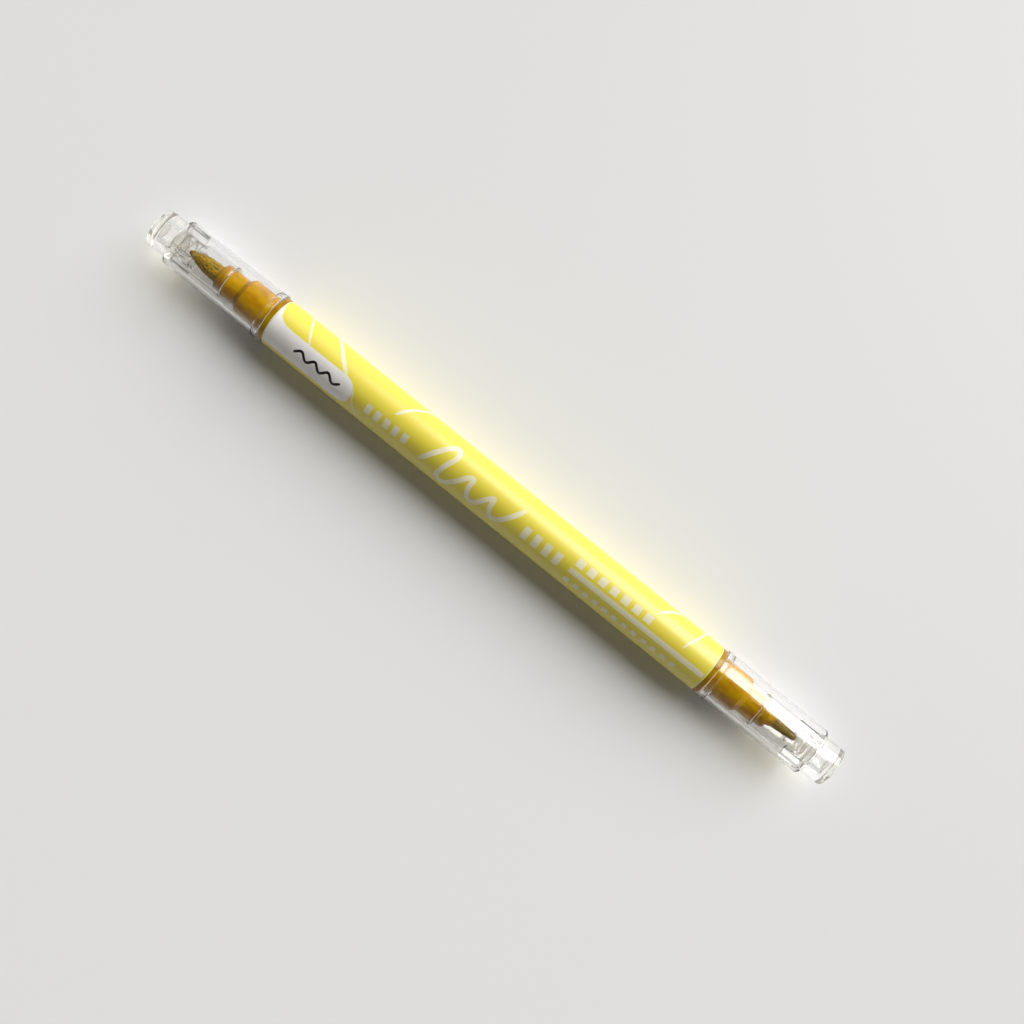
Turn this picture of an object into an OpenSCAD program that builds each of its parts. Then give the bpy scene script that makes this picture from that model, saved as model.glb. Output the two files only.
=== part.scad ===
// Double-ended brush pen: a brush nib at one end, a fine bullet nib at the other, and a clear
// push-on cap over each. The two caps are the same, and either one also fits over the other's crown.
// The pen lies along X on the ground plane, with the brush end towards -X and the origin under
// the middle. All sizes are millimetres.

/* [Barrel] */
// Length of the barrel
barrel_l = 98.7; // [83:0.1:120]
// Outer radius of the barrel
barrel_r = 4.58; // [3.8:0.02:5.5]
// Wall of the barrel
barrel_wall = 0.83; // [0.6:0.01:1]
// Height of the ribs that hold the ink reservoir
barrel_rib_h = 0.2; // [0.1:0.05:0.4]
// Width of those ribs
barrel_rib_w = 0.6; // [0.4:0.1:1]
// Number of those ribs
barrel_rib_n = 6; // [3:1:8]
// Thickness of the printed film that wraps the barrel
label_t = 0.07; // [0.04:0.01:0.12]
// Bare barrel left at each end of the film
label_inset = 0.15; // [0:0.05:1]

/* [Nib sections] */
// Thickness of the flange that shows between the barrel and the cap
flange_t = 0.9; // [0.5:0.1:1.2]
// Length of the body that the cap slides over
body_l = 6.16; // [5.6:0.02:8.2]
// Length of the cone from the body down to the nose
cone_l = 1.1; // [0.6:0.1:1.8]
// How much the cone narrows the radius from the body to the nose
cone_step = 0.95; // [0.6:0.05:1.1]
// Length of the nose of the brush section
brush_nose_l = 4.9; // [4.5:0.02:6.6]
// Length of the full-width nose of the fine section
fine_nose_l = 3.6; // [2.4:0.1:3.6]
// How much slimmer in radius the front of the fine section's nose is
fine_step = 0.3; // [0.1:0.05:0.5]
// Length of that front
fine_front_l = 1.6; // [1:0.1:2.2]
// Length of the tapered nozzle round the fine nib
nozzle_l = 1.1; // [0.6:0.1:1.5]
// Wall at the root of the nozzle
nozzle_wall = 0.47; // [0.3:0.01:0.6]
// Length of the plug that goes into the barrel
plug_l = 9; // [7:0.5:11]
// Wall of a section where it is hollow
section_wall = 0.95; // [0.7:0.05:1.1]
// Height of the snap bumps that grip the cap
bump_h = 0.12; // [0.06:0.01:0.16]
// Length of a snap bump along the pen
bump_l = 1; // [0.6:0.1:1.4]
// Distance from the flange to the middle of the snap bumps
bump_at = 2.4; // [1.4:0.1:3]
// Number of snap bumps
bump_n = 4; // [2:1:6]

/* [Nibs and reservoir] */
// Radius of the brush nib where it leaves its section
brush_r = 1.68; // [1.4:0.02:1.9]
// Length of the brush nib outside its section
brush_l = 7.4; // [6:0.1:8.8]
// Radius of the brush nib's very tip
brush_tip_r = 0.35; // [0.1:0.05:0.5]
// Radius of the fine nib where it leaves its section
fine_r = 1.08; // [0.9:0.02:1.25]
// Length of the fine nib outside its section
fine_l = 5; // [4:0.1:6]
// Radius of the fine nib's round tip
fine_tip_r = 0.62; // [0.45:0.01:0.72]
// How far each nib's tail goes into the reservoir
tail_in = 5; // [3:0.5:8]
// Thickness of the film round the reservoir
wrap_t = 0.08; // [0.04:0.01:0.12]

/* [Caps] */
// Wall of the cap beside its shoulder, where its outside is level with the barrel's
cap_wall = 0.83; // [0.6:0.01:1.2]
// How much the cap's outside radius grows from the shoulder to the mouth
cap_draft = 0.13; // [0:0.01:0.2]
// How far the bead round the mouth stands out
bead_h = 0.07; // [0.03:0.01:0.2]
// Width of the bead round the mouth
bead_w = 1.15; // [0.8:0.05:1.6]
// Width of the groove behind that bead
groove_w = 0.3; // [0.2:0.05:0.5]
// Length of the crown
crown_l = 4.65; // [4:0.05:6]
// Radius of the round edge of the crown
crown_edge_r = 0.55; // [0.3:0.05:0.8]
// Wall at the end of the crown
crown_end = 1.5; // [1:0.1:2]
// Radius of the blind hole inside the crown
crown_hole_r = 1.6; // [1.2:0.05:2]
// Radius of the shallow dish in the end of the crown
dish_r = 1.5; // [1:0.05:1.8]
// Depth of that dish
dish_depth = 0.35; // [0.2:0.05:0.6]
// Wall of the inner cap
liner_wall = 0.45; // [0.35:0.01:0.55]
// How much slimmer in radius the closed head of the inner cap is
head_step = 0.56; // [0.4:0.01:0.7]
// Length of that head
liner_head_l = 4.25; // [3.6:0.05:5]
// Thickness of the closed end of the inner cap
liner_end = 1.25; // [0.8:0.05:1.6]
// How much slimmer in radius the pocket ahead of the longer nib is than the head's bore
pocket_step = 0.7; // [0.4:0.05:0.8]
// Depth of that pocket
pocket_l = 1.3; // [1:0.05:1.8]
// How far the bead on the inner cap's rim stands out
rim_h = 0.15; // [0.05:0.05:0.2]
// Number of ribs in the cap that hold the inner cap
cap_rib_n = 4; // [3:1:6]
// Width of those ribs
cap_rib_w = 0.75; // [0.5:0.05:1]

/* [Clearances] */
// Radial gap between the snap bumps and the cap
snap_gap = 0.1; // [0.05:0.01:0.15]
// Radial gap between the nose and the inner cap
seal_gap = 0.06; // [0.03:0.01:0.1]
// Radial gap between a crown and the mouth of the other cap posted on it
post_gap = 0.07; // [0.05:0.01:0.15]
// Radial gap of pieces that are pushed together for good
push_gap = 0.02; // [0.01:0.01:0.04]
// Gap ahead of the longer nib inside the cap
tip_gap = 1.14; // [0.4:0.02:2]
// Gap from the mouth of the inner cap to the cone
rim_gap = 2.8; // [0.8:0.02:2.8]
// Gap from each plug to the reservoir
plug_gap = 0.3; // [0.2:0.05:0.6]

/* [Hidden] */
$fn = 96;
eps = 0.01; // how far a cut runs past the face that it opens
arc_step = 15; // degrees from point to point on a round edge
brush_side = -1;
fine_side = 1;
rib_turn = 24; // degrees that the cap's ribs are turned from level
bump_turn = 40; // degrees round the pen that a snap bump spans
bump_start = 45; // degrees from the top to the middle of the first snap bump
lead = 0.4; // chamfer that leads a plug or a tail into its hole
edge = 0.1; // chamfer on small edges
shoulder_l = 0.3; // radius of the cap's round shoulder
brush_bow = 2.6; // 1 is a straight cone, and more swells the brush's sides
brush_steps = 12;

bore_r = barrel_r - barrel_wall;
label_r = barrel_r + label_t;
wrap_r = bore_r - barrel_rib_h - push_gap;
core_r = wrap_r - wrap_t;
core_l = barrel_l - 2 * (plug_l + plug_gap);

cap_r = label_r;
cap_bore_r = cap_r - cap_wall;
body_r = cap_bore_r - snap_gap - bump_h;
nose_r = body_r - cone_step;
fine_front_r = nose_r - fine_step;
nozzle_root_r = fine_r + nozzle_wall;
plug_r = bore_r - push_gap;
cavity_r = min(plug_r, body_r) - section_wall;

brush_reach = body_l + cone_l + brush_nose_l + brush_l;
fine_front_z = body_l + cone_l + fine_nose_l + fine_front_l;
fine_reach = fine_front_z + nozzle_l + fine_l;

liner_z = crown_l + shoulder_l;
cap_l = liner_z + liner_end + tip_gap + max(brush_reach, fine_reach);
through_l = plug_l + flange_t + cap_l; // longer than any section
cap_mouth_r = cap_r + cap_draft;
bead_r = cap_mouth_r + bead_h;
crown_r = cap_bore_r - post_gap;
liner_bore_r = nose_r + seal_gap;
liner_r = liner_bore_r + liner_wall;
liner_head_r = liner_r - head_step;
head_bore_r = liner_head_r - liner_wall;
pocket_r = head_bore_r - pocket_step;
liner_rim_z = cap_l - body_l - cone_l - rim_gap;

total_l = barrel_l + 2 * (flange_t + cap_l);
axis_h = max(bead_r, label_r);

// Points of an arc about [r, z], from angle a0 to angle a1.
function arc(r, z, radius, a0, a1) =
    let (n = ceil(abs(a1 - a0) / arc_step))
    [for (i = [0:n]) let (a = a0 + (a1 - a0) * i / n) [r + radius * cos(a), z + radius * sin(a)]];

// Lays a piece that is made about Z along the pen: z runs from x towards the given side.
module along(x, side) {
    translate([x, 0, axis_h]) rotate([0, 90 * side, 0]) children();
}

// Stands a copy of a piece at the outer end of the barrel on one side, with z running outwards.
module at_barrel_end(side) {
    along(side * barrel_l / 2, side) children();
}

// Stands a copy of a piece at the tip of the crown on one side, with z running inwards.
module at_crown(side) {
    along(side * total_l / 2, -side) children();
}

module ring(r_out, r_in, length) {
    difference() {
        cylinder(r = r_out, h = length);
        translate([0, 0, -eps]) cylinder(r = r_in, h = length + 2 * eps);
    }
}

module ribs_in(count, r_out, r_in, width, length) {
    for (i = [0:count - 1]) {
        rotate([0, 0, 360 * i / count]) translate([r_in, -width / 2, 0]) cube([r_out - r_in, width, length]);
    }
}

// Tube with inner ribs between the two plugs.
module barrel() {
    rib_l = core_l + 2 * plug_gap - 2 * lead;
    color([0.96, 0.92, 0.5]) along(-barrel_l / 2, 1) {
        ring(barrel_r, bore_r, barrel_l);
        translate([0, 0, (barrel_l - rib_l) / 2])
            ribs_in(barrel_rib_n, bore_r + barrel_wall / 2, bore_r - barrel_rib_h, barrel_rib_w, rib_l);
    }
}

module label_sleeve() {
    label_l = barrel_l - 2 * label_inset;
    color([0.98, 0.95, 0.6]) along(-label_l / 2, 1) ring(label_r, barrel_r, label_l);
}

// Fibre rod with a pocket at each end that a nib's tail fills.
module reservoir_core() {
    color([0.6, 0.5, 0.2]) along(-core_l / 2, 1) difference() {
        cylinder(r = core_r, h = core_l);
        translate([0, 0, -eps]) cylinder(r = brush_r + push_gap, h = tail_in + 2 * eps);
        translate([0, 0, core_l - tail_in - eps]) cylinder(r = fine_r + push_gap, h = tail_in + 2 * eps);
    }
}

module reservoir_wrap() {
    color([0.9, 0.9, 0.85, 0.5]) along(-core_l / 2, 1) ring(wrap_r, core_r, core_l);
}

// The part that both sections share: plug, flange, body with snap bumps, cone and nose.
// The outline runs on to the front that each section adds.
module section(front, nib_r) {
    back = flange_t + body_l;
    nose_z = back + cone_l;
    difference() {
        union() {
            rotate_extrude() polygon(concat([
                [0, -plug_l],
                [plug_r - lead, -plug_l],
                [plug_r, lead - plug_l],
                [plug_r, 0],
                [barrel_r, 0],
                [barrel_r, flange_t - edge],
                [barrel_r - edge, flange_t],
                [body_r, flange_t],
                [body_r, back],
                [nose_r, nose_z]], front));
            for (i = [0:bump_n - 1]) {
                rotate([0, 0, bump_start + 360 * i / bump_n - bump_turn / 2]) snap_bump();
            }
        }
        translate([0, 0, -plug_l - eps]) cylinder(r = cavity_r, h = plug_l + back);
        translate([0, 0, -plug_l]) cylinder(r = nib_r + push_gap, h = through_l);
    }
}

// Low ridge whose sloping sides meet the body bump_l apart.
module snap_bump() {
    translate([0, 0, flange_t + bump_at]) rotate_extrude(angle = bump_turn) polygon([
        [body_r - bump_h, -bump_l * 0.8],
        [body_r + bump_h, -bump_l * 0.2],
        [body_r + bump_h, bump_l * 0.2],
        [body_r - bump_h, bump_l * 0.8]]);
}

module brush_section() {
    front_z = flange_t + body_l + cone_l + brush_nose_l;
    front_r = nose_r - lead / 2;
    color([0.85, 0.62, 0.05]) at_barrel_end(brush_side)
        section([[nose_r, front_z - lead], [front_r, front_z], [0, front_z]], brush_r);
}

module fine_section() {
    step_z = flange_t + body_l + cone_l + fine_nose_l;
    front_z = flange_t + fine_front_z;
    tip_z = front_z + nozzle_l;
    color([0.85, 0.6, 0.05]) at_barrel_end(fine_side)
        section([
            [nose_r, step_z - edge],
            [nose_r - edge, step_z],
            [fine_front_r, step_z],
            [fine_front_r, front_z - lead],
            [fine_front_r - lead / 2, front_z],
            [nozzle_root_r, front_z],
            [fine_r + push_gap + edge, tip_z],
            [0, tip_z]], fine_r);
}

// A nib's outline below its point: a straight shaft down to a tail inside the reservoir.
function shaft(r) = let (end = -plug_l - plug_gap - tail_in + push_gap) [
    [0, end],
    [r - lead / 2, end],
    [r, end + lead]];

// Radius of the brush at share k of its length, from 0 where it leaves the section to 1 at the tip.
function brush_radius(k) = brush_tip_r + (brush_r - brush_tip_r) * (1 - pow(k, brush_bow));

module brush_nib() {
    base_z = flange_t + body_l + cone_l + brush_nose_l;
    outline = [for (i = [0:brush_steps])
        [brush_radius(i / brush_steps), base_z + brush_l * i / brush_steps]];
    color([0.5, 0.45, 0.1]) at_barrel_end(brush_side)
        rotate_extrude() polygon(concat(shaft(brush_r), outline, [[0, base_z + brush_l]]));
}

// Narrows slightly and ends in a round tip.
module fine_nib() {
    base_z = flange_t + fine_front_z + nozzle_l;
    tip_z = base_z + fine_l - fine_tip_r;
    color([0.45, 0.42, 0.2]) at_barrel_end(fine_side)
        rotate_extrude() polygon(concat(
            shaft(fine_r), [[fine_r, base_z]], arc(0, tip_z, fine_tip_r, arc_step, 90)));
}

// Clear outer cap: a slim crown with a blind hole, a shoulder, a tube and a bead round the mouth.
module cap_shell() {
    neck_z = cap_l - bead_w - groove_w;
    color([0.93, 0.95, 0.95, 0.35]) {
        difference() {
            rotate_extrude() polygon(concat(
                [[0, 0]],
                arc(crown_r - crown_edge_r, crown_edge_r, crown_edge_r, -90, 0),
                [[crown_r, crown_l]],
                arc(cap_r - shoulder_l, crown_l + shoulder_l, shoulder_l, -90, 0),
                [[cap_mouth_r, neck_z],
                 [cap_mouth_r - edge, neck_z + edge],
                 [cap_mouth_r - edge, neck_z + groove_w],
                 [bead_r, neck_z + groove_w + edge],
                 [bead_r, cap_l - edge],
                 [bead_r - edge, cap_l],
                 [0, cap_l]]));
            translate([0, 0, liner_z]) cylinder(r = cap_bore_r, h = cap_l);
            translate([0, 0, crown_end]) cylinder(r = crown_hole_r, h = cap_l);
            translate([0, 0, -eps]) cylinder(r = dish_r, h = dish_depth + eps);
        }
        rotate([0, 0, rib_turn]) translate([0, 0, liner_z - edge])
            ribs_in(cap_rib_n, cap_bore_r + cap_wall / 2, liner_head_r + push_gap, cap_rib_w,
                    liner_head_l + edge);
    }
}

// Clear inner cap: a closed head held between the shell's ribs, and a tube that seals on the nose.
module cap_liner() {
    neck_z = liner_z + liner_head_l;
    floor_z = liner_z + liner_end;
    color([0.9, 0.93, 0.95, 0.4]) rotate_extrude() polygon([
        [0, liner_z],
        [liner_head_r - edge, liner_z],
        [liner_head_r, liner_z + edge],
        [liner_head_r, neck_z],
        [liner_r, neck_z + head_step],
        [liner_r, liner_rim_z - bead_w / 2 - rim_h],
        [liner_r + rim_h, liner_rim_z - bead_w / 2],
        [liner_r + rim_h, liner_rim_z - edge],
        [liner_r + rim_h - edge, liner_rim_z],
        [liner_bore_r, liner_rim_z],
        [liner_bore_r, neck_z + head_step],
        [head_bore_r, neck_z],
        [head_bore_r, floor_z + pocket_l],
        [pocket_r, floor_z + pocket_l],
        [pocket_r, floor_z],
        [0, floor_z]]);
}

module brush_cap_shell() {
    at_crown(brush_side) cap_shell();
}

module brush_cap_liner() {
    at_crown(brush_side) cap_liner();
}

module fine_cap_shell() {
    at_crown(fine_side) cap_shell();
}

module fine_cap_liner() {
    at_crown(fine_side) cap_liner();
}

barrel();
label_sleeve();
reservoir_core();
reservoir_wrap();
brush_section();
brush_nib();
fine_section();
fine_nib();
brush_cap_shell();
brush_cap_liner();
fine_cap_shell();
fine_cap_liner();
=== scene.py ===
# Looks of a double-ended brush pen with a clear cap over each end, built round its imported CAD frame.
# The pen lies along X with its brush end towards -X. Lengths in the tables below are millimetres, and
# z is the distance along the pen: from the barrel's end outwards on a section or a nib, and from the
# crown's end inwards on a cap.

import math

import bmesh
import bpy
import numpy as np
from bpy.props import (
    FloatProperty,
    FloatVectorProperty,
    IntProperty,
    PointerProperty,
)
from mathutils import Matrix, Vector


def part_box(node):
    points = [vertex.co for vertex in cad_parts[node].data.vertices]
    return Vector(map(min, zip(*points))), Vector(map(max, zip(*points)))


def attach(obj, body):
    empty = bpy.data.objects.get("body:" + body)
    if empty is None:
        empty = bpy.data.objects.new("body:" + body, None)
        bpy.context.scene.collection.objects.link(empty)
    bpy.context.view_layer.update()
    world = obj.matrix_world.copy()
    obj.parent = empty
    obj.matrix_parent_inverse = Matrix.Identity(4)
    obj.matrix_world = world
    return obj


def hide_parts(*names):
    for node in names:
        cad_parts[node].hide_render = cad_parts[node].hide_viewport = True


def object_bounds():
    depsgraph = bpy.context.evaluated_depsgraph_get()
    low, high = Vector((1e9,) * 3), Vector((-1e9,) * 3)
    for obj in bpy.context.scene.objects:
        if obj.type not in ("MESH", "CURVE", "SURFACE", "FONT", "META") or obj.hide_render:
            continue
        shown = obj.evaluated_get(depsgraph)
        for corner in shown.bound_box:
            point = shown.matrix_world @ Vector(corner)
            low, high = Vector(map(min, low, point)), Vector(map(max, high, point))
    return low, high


bl_info = {
    "name": "Brush Pen",
    "version": (1, 0, 0),
    "blender": (4, 5, 0),
    "location": "View3D > Sidebar > Brush Pen",
    "description": "Builds the looks of a double-ended brush pen round its CAD frame",
    "category": "Object",
}

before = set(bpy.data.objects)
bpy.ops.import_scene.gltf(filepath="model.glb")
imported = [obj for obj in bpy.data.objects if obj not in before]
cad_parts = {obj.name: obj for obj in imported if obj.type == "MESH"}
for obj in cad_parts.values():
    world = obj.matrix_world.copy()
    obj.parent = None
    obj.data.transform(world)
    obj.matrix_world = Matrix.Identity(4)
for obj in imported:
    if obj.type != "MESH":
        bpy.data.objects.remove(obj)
CAD_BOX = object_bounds()

MM = 0.001
BRUSH, FINE = -1, 1  # which way each end points along X

LABEL_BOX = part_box("label_sleeve")
BARREL_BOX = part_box("barrel")
AXIS_H = (LABEL_BOX[0].z + LABEL_BOX[1].z) / 2
BARREL_END = BARREL_BOX[1].x
FILM_END = LABEL_BOX[1].x
FILM_R = (LABEL_BOX[1].z - LABEL_BOX[0].z) / 2
BARREL_R = (BARREL_BOX[1].z - BARREL_BOX[0].z) / 2
TOTAL_END = CAD_BOX[1].x
CAP_L = TOTAL_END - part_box("fine_cap_shell")[0].x
BEAD_R = (CAD_BOX[1].z - CAD_BOX[0].z) / 2

TURN = 2 * math.pi
COLUMNS = 192  # faces round a turned piece
# The closed end's length also sets where the painted rim highlight on a cap grows weaker.
CLOSED_END_L = 6.6  # mm of a cap's closed end, where its faces stay clearer

# Sizes in mm that CAD and looks share but no setting changes.
BARREL_WALL, BARREL_RIB_H, BARREL_RIB_HALF = 0.83, 0.2, 0.3
BARREL_RIBS = 6
BARREL_PLAIN_L = 9.4  # from each end of the barrel to its ribs
PLUG_R = BARREL_R / MM - 0.85  # of a section, in the barrel
CAVITY_R = 2.65  # of a section, round its nib
BRUSH_NOSE_L = 4.9
FINE_STEP_L, FINE_NOSE_L, FINE_TIP_L = 3.6, 5.2, 6.3  # the fine section's front, from its cone
TAIL_END = -14.28  # where a nib's tail ends in the reservoir
DISH_R, DISH_L = 1.5, 0.35  # the dish in a cap's end
BLIND_R, BLIND_L = 1.6, 1.5  # the blind hole behind it
CAP_STEP_L, CAP_RIB_L = 0.3, 4.25  # from the crown to the bore's floor, and the ribs on that floor
BEAD_L = 1.15
INNER_HEAD, INNER_NECK, INNER_RIM = 4.95, 9.2, 16.84  # from the cap's end to parts of the inner cap
INNER_HEAD_R, INNER_TUBE_R, INNER_BORE_R, INNER_POCKET_R = 2.6, 3.16, 2.71, 2.15
INNER_POCKET, INNER_HOLE, INNER_HOLE_R = 7.5, 6.2, 1.45  # where the pocket and the hole ahead of it end

# Where the light comes from, and the camera's place in mm and its turn.
KEY_TOWARDS = (0.26, 0.62, 0.52)
CAMERA_PLACE = (14.771, -10.064, 227.237)
CAMERA_TURN = (
    (0.777745, -0.627045, 0.043811),
    (0.628539, 0.776517, -0.044250),
    (-0.006275, 0.061950, 0.998062),
)


def linear(code):
    """An sRGB hex colour as linear RGB."""
    parts = [int(code[i : i + 2], 16) / 255 for i in (1, 3, 5)]
    return tuple(c / 12.92 if c <= 0.04045 else ((c + 0.055) / 1.055) ** 2.4 for c in parts)


def length(name, mm, text):
    return FloatProperty(
        name=name, description=text, default=mm * MM, min=0, precision=6, subtype="DISTANCE", unit="LENGTH"
    )


def colour(name, code, text):
    return FloatVectorProperty(
        name=name, description=text, default=linear(code), min=0, max=1, size=3, subtype="COLOR"
    )


def turn_of(name, degrees, text):
    return FloatProperty(
        name=name, description=text, default=math.radians(degrees), subtype="ANGLE", unit="ROTATION"
    )


def decimal(name, default, text, low=0, high=1000):
    return FloatProperty(name=name, description=text, default=default, min=low, max=high)


def whole(name, default, text, low=1, high=10000):
    return IntProperty(name=name, description=text, default=default, min=low, max=high)


# ---------------------------------------------------------------- settings


class BarrelSettings(bpy.types.PropertyGroup):
    film_colour: colour("Film colour", "#EADB4A", "Pale yellow of the printed film")
    film_shade: colour("Film shade", "#DEC830", "Deeper yellow where the print is heavier")
    plastic_colour: colour("Barrel colour", "#F2EDC8", "Moulded barrel under the film")
    white_ink: colour("White ink", "#F3F1EE", "White of the panel")
    thin_ink: colour("Thin white ink", "#F1EBC6", "White of the lines and marks, which lets the yellow show")
    black_ink: colour("Black ink", "#17161A", "Black of the wave on the panel")
    ragged: length("Ragged edge", 0.3, "How far the film's cut edge wanders")
    ink_lift: length("Ink lift", 0.008, "How far the ink stands on the film")


class SectionSettings(bpy.types.PropertyGroup):
    amber: colour("Amber", "#CCA600", "Body colour of the amber moulding")
    amber_deep: colour("Deep amber", "#AE7A00", "Amber where the wall is thick")
    plug_l: length("Plug length", 9.0, "How far a section goes into the barrel")
    flange_t: length("Flange", 0.9, "Ring between the barrel and the cap")
    body_l: length("Body length", 6.16, "Part that the cap slides over")
    body_r: length("Body radius", 3.6, "Radius of that part")
    cone_l: length("Cone length", 1.1, "Cone from the body to the nose")
    nose_r: length("Nose radius", 2.65, "Radius of the nose")
    bump_at: length("Bump place", 2.4, "Flange to the middle of the snap bumps")
    bump_h: length("Bump height", 0.12, "How far the snap bumps stand out")
    bump_count: whole("Bumps", 4, "Number of snap bumps on a section", high=8)
    bump_start: turn_of("Bump start", 45, "Turn of the first snap bump")


class NibSettings(bpy.types.PropertyGroup):
    fibre_light: colour("Light fibre", "#C09A1E", "Ink-wet fibre that faces the light")
    fibre_dark: colour("Dark fibre", "#332900", "Gaps between the fibres")
    rod_light: colour("Light rod", "#9A7E22", "Fine nib's fibre rod")
    rod_dark: colour("Dark rod", "#251D02", "Gaps in the fine nib's rod")
    brush_r: length("Brush radius", 1.68, "Brush nib where it leaves its section")
    brush_l: length("Brush length", 7.4, "Brush nib outside its section")
    brush_tip_r: length("Brush tip", 0.35, "Radius of the brush nib's tip")
    bow: decimal("Bow", 2.6, "1 is a straight cone, and more swells the brush nib's sides", low=1)
    fine_r: length("Fine radius", 1.08, "Fine nib where it leaves its section")
    fine_l: length("Fine length", 5.0, "Fine nib outside its section")
    fine_tip_r: length("Fine tip", 0.62, "Radius of the fine nib's round tip")
    fibre_w: length("Fibre", 0.19, "Width of a fibre at its root")
    brush_fibres: whole("Brush fibres", 120, "Fibres in the brush nib's skin", low=20, high=400)
    fine_fibres: whole("Fine fibres", 70, "Fibres in the fine nib's skin", low=20, high=400)
    seed: whole("Seed", 7, "Seed of the fibres' lengths and places", low=0)


class CapSettings(bpy.types.PropertyGroup):
    tint: colour("Tint", "#FFFFFF", "Faint tint of the clear moulding")
    inner_tint: colour("Inner tint", "#FFFFFF", "Faint tint of the inner cap")
    crown_r: length("Crown radius", 3.75, "Slim end that the other cap posts on")
    crown_l: length("Crown length", 4.65, "Length of that end")
    shoulder_r: length("Shoulder radius", 4.65, "Cap beside its shoulder")
    mouth_r: length("Mouth radius", 4.78, "Cap just behind its bead")
    bore_r: length("Bore", 3.82, "Radius inside the cap")
    rib_w: length("Rib width", 0.75, "Ribs that hold the inner cap")
    rib_r: length("Rib reach", 2.62, "Radius that the ribs reach in to")
    ribs: whole("Ribs", 4, "Number of ribs inside a cap", high=8)
    rib_turn: turn_of("Rib turn", 24, "Turn of the ribs from level")


class StageSettings(bpy.types.PropertyGroup):
    floor_colour: colour("Floor", "#EBECED", "Plain pale floor")
    key_strength: decimal("Key light", 3.8, "Strength of the broad soft light")
    key_angle: turn_of("Key breadth", 50, "How broad the soft light looks from the pen")
    sky: decimal("Surroundings", 0.88, "Brightness of the plain surroundings")
    lens: decimal("Lens", 43.95, "Focal length of the camera in millimetres", low=10, high=200)


# ---------------------------------------------------------------- shapes


def soften(corners, closed=False, arc_steps=4, support=0.07):
    """Rounds an outline of (r, z, corner radius), and holds the flats flat with a point beside each arc."""
    points = []
    count = len(corners)
    for i, (r, z, radius) in enumerate(corners):
        here = Vector((r, z))
        inner = closed or 0 < i < count - 1
        if not inner or radius <= 0:
            points.append((r, z))
            continue
        back = Vector(corners[i - 1][:2]) - here
        on = Vector(corners[(i + 1) % count][:2]) - here
        room = 0.49 * min(back.length, on.length)
        a, b = back.normalized(), on.normalized()
        half = a.angle(b) / 2
        reach = min(radius / math.tan(half), room)
        radius = reach * math.tan(half)
        centre = here + (a + b).normalized() * (radius / math.sin(half))
        if back.length * 0.49 > reach + support:
            points.append(tuple(here + a * (reach + support)))
        start, end = here + a * reach - centre, here + b * reach - centre
        turn = start.angle(end)
        for k in range(arc_steps + 1):
            t = k / arc_steps
            v = (start * math.sin((1 - t) * turn) + end * math.sin(t * turn)) / math.sin(turn)
            points.append(tuple(centre + v))
        if on.length * 0.49 > reach + support:
            points.append(tuple(here + b * (reach + support)))
    return points


def circle(count=COLUMNS):
    return np.arange(count) * TURN / count


def place(radius, angles, z, start, way):
    """Points round the pen's axis. Radius and z are in mm, and an angle is from the top towards +Y."""
    radius = np.broadcast_to(radius, np.shape(angles)) * MM
    x = np.broadcast_to(start + way * np.asarray(z) * MM, np.shape(angles))
    return np.stack([x, radius * np.sin(angles), AXIS_H + radius * np.cos(angles)], axis=-1)


def skin(name, rows, looped=False):
    """One closed skin through rows of points. A row of one point is a pole."""
    points, faces, starts = [], [], []
    for row in rows:
        starts.append(len(points))
        points.extend(map(tuple, row))
    pairs = list(zip(range(len(rows)), range(1, len(rows))))
    if looped:
        pairs.append((len(rows) - 1, 0))
    for i, j in pairs:
        a, b = len(rows[i]), len(rows[j])
        around = max(a, b)
        for k in range(around):
            m = (k + 1) % around
            quad = [starts[i] + k % a, starts[i] + m % a, starts[j] + m % b, starts[j] + k % b]
            face = list(dict.fromkeys(quad))
            if len(face) > 2:
                faces.append(face)
    mesh = bpy.data.meshes.new(name)
    mesh.from_pydata(points, [], faces)
    return finish_mesh(mesh)


def finish_mesh(mesh, sharp=38, merge=1e-8):
    """Merges doubles, points the faces outwards and keeps only real edges sharp."""
    bm = bmesh.new()
    bm.from_mesh(mesh)
    bmesh.ops.remove_doubles(bm, verts=bm.verts, dist=merge)
    bmesh.ops.dissolve_degenerate(bm, edges=bm.edges, dist=merge)
    bmesh.ops.recalc_face_normals(bm, faces=bm.faces)
    bm.to_mesh(mesh)
    bm.free()
    mesh.shade_smooth()
    mesh.set_sharp_from_angle(angle=math.radians(sharp))
    return mesh


def add_piece(name, mesh, material, body, node=None):
    """Puts a finished mesh in the scene, rides it on its body and has it stand for its CAD node."""
    mesh.name = name
    mesh.materials.clear()
    mesh.materials.append(material)
    piece = bpy.data.objects.new(name, mesh)
    bpy.context.scene.collection.objects.link(piece)
    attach(piece, body)
    if node:
        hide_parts(node)
    return piece


def turned(outline, start, way, angles=None, swell=None):
    """Rows of a turned piece. A radius of 0 makes a pole. swell(angles, r, z) adds to the radius."""
    angles = circle() if angles is None else angles
    rows = []
    for r, z in outline:
        if r < 1e-6:
            rows.append(place(0.0, np.zeros(1), z, start, way))
        else:
            radius = r + (swell(angles, r, z) if swell else 0.0)
            rows.append(place(radius, angles, z, start, way))
    return rows


# ---------------------------------------------------------------- materials


def feed(tree, made, inputs):
    """Sets a node's inputs. A node given as a value means its first output."""
    for key, value in inputs.items():
        if isinstance(value, bpy.types.Node):
            value = value.outputs[0]
        if isinstance(value, bpy.types.NodeSocket):
            tree.links.new(value, made.inputs[key])
        else:
            made.inputs[key].default_value = value


def node(tree, kind, inputs=None, **settings):
    """Adds a node with its settings and inputs, one column to the right of what feeds it."""
    made = tree.nodes.new(kind)
    for key, value in settings.items():
        setattr(made, key, value)
    feed(tree, made, inputs or {})
    column = 220 + max((link.from_node.location.x for link in tree.links if link.to_node == made), default=0)
    made.location = (column, -200 * sum(other.location.x == column for other in tree.nodes))
    return made


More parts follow.
